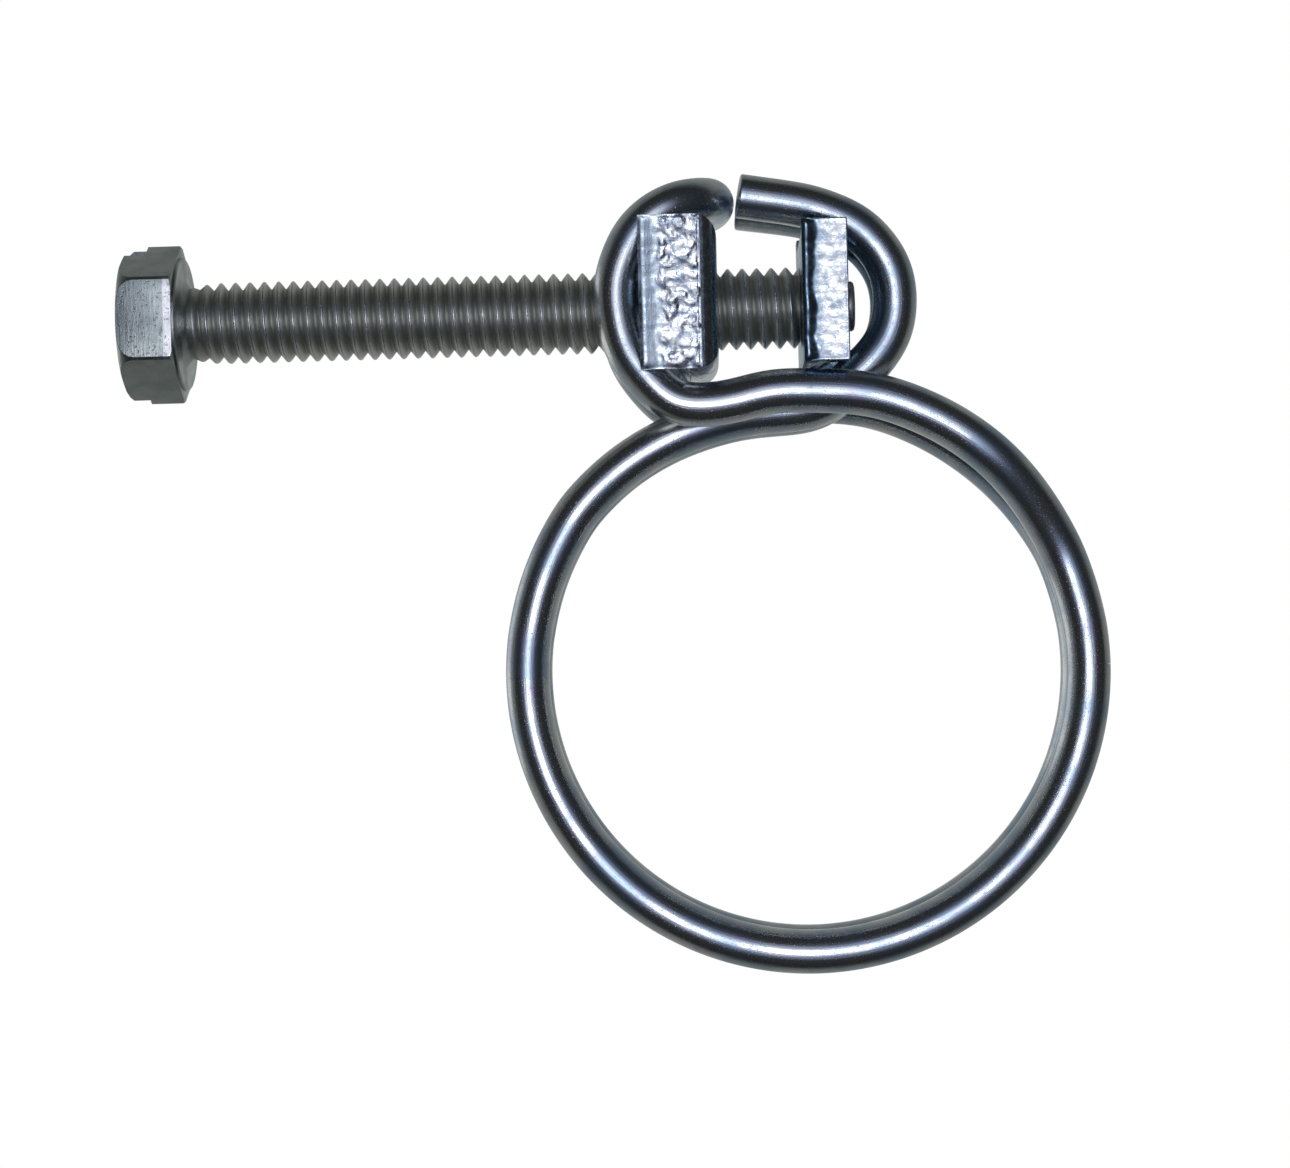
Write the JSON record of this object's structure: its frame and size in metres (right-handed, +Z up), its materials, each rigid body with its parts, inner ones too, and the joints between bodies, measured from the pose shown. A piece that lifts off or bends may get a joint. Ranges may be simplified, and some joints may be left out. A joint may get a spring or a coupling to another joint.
{
  "type": "hose clamp",
  "caption": "Double-wire hose clamp: a springy ring of doubled round wire whose crossed ends form two eyes, pushed apart by a slotted hexagon screw to tighten the ring.",
  "frame": {"origin": "centre of the ring, midway between its two wire strands", "axes": "+Y along the hose, +Z up from the ring's centre to the screw, +X the way the screw advances when it tightens"},
  "size_m": [0.0666, 0.0144, 0.0545],
  "materials": {
    "bright_wire": "bright zinc-plated drawn wire",
    "sheared_plate": "bright zinc plate over sheared steel",
    "screw_zinc": "satin zinc plate"
  },
  "bodies": {
    "nut_arm": {"wire_nut_side": "bright_wire"},
    "thrust_arm": {"wire_thrust_side": "bright_wire"},
    "nut_block": {"nut_block": "sheared_plate"},
    "thrust_plate": {"thrust_plate": "sheared_plate"},
    "screw": {"screw": "screw_zinc"}
  },
  "joints": [
    {"name": "ring_bend", "type": "hinge", "parent": "nut_arm", "child": "thrust_arm", "pos_m": [-0.0033, 0, -0.01729], "axis": [0, 1, 0], "range_deg": [0, 13.68]},
    {"name": "nut_tilt", "type": "hinge", "parent": "nut_arm", "child": "nut_block", "pos_m": [-0.0083, 0, 0.025], "axis": [0, 1, 0], "range_deg": [0, 6.84]},
    {"name": "plate_slide", "type": "slide", "parent": "nut_block", "child": "thrust_plate", "axis": [1, 0, 0], "range_m": [0, 0.01]},
    {"name": "screw_turn", "type": "hinge", "parent": "thrust_plate", "child": "screw", "pos_m": [0, 0, 0.025], "axis": [1, 0, 0], "range_deg": [0, 3600]}
  ],
  "couplings": [
    {"joint": "screw_turn", "follows": "plate_slide", "rad_per_m": 6283.2},
    {"joint": "ring_bend", "follows": "plate_slide", "rad_per_m": 23.872},
    {"joint": "nut_tilt", "follows": "plate_slide", "rad_per_m": 11.936}
  ]
}
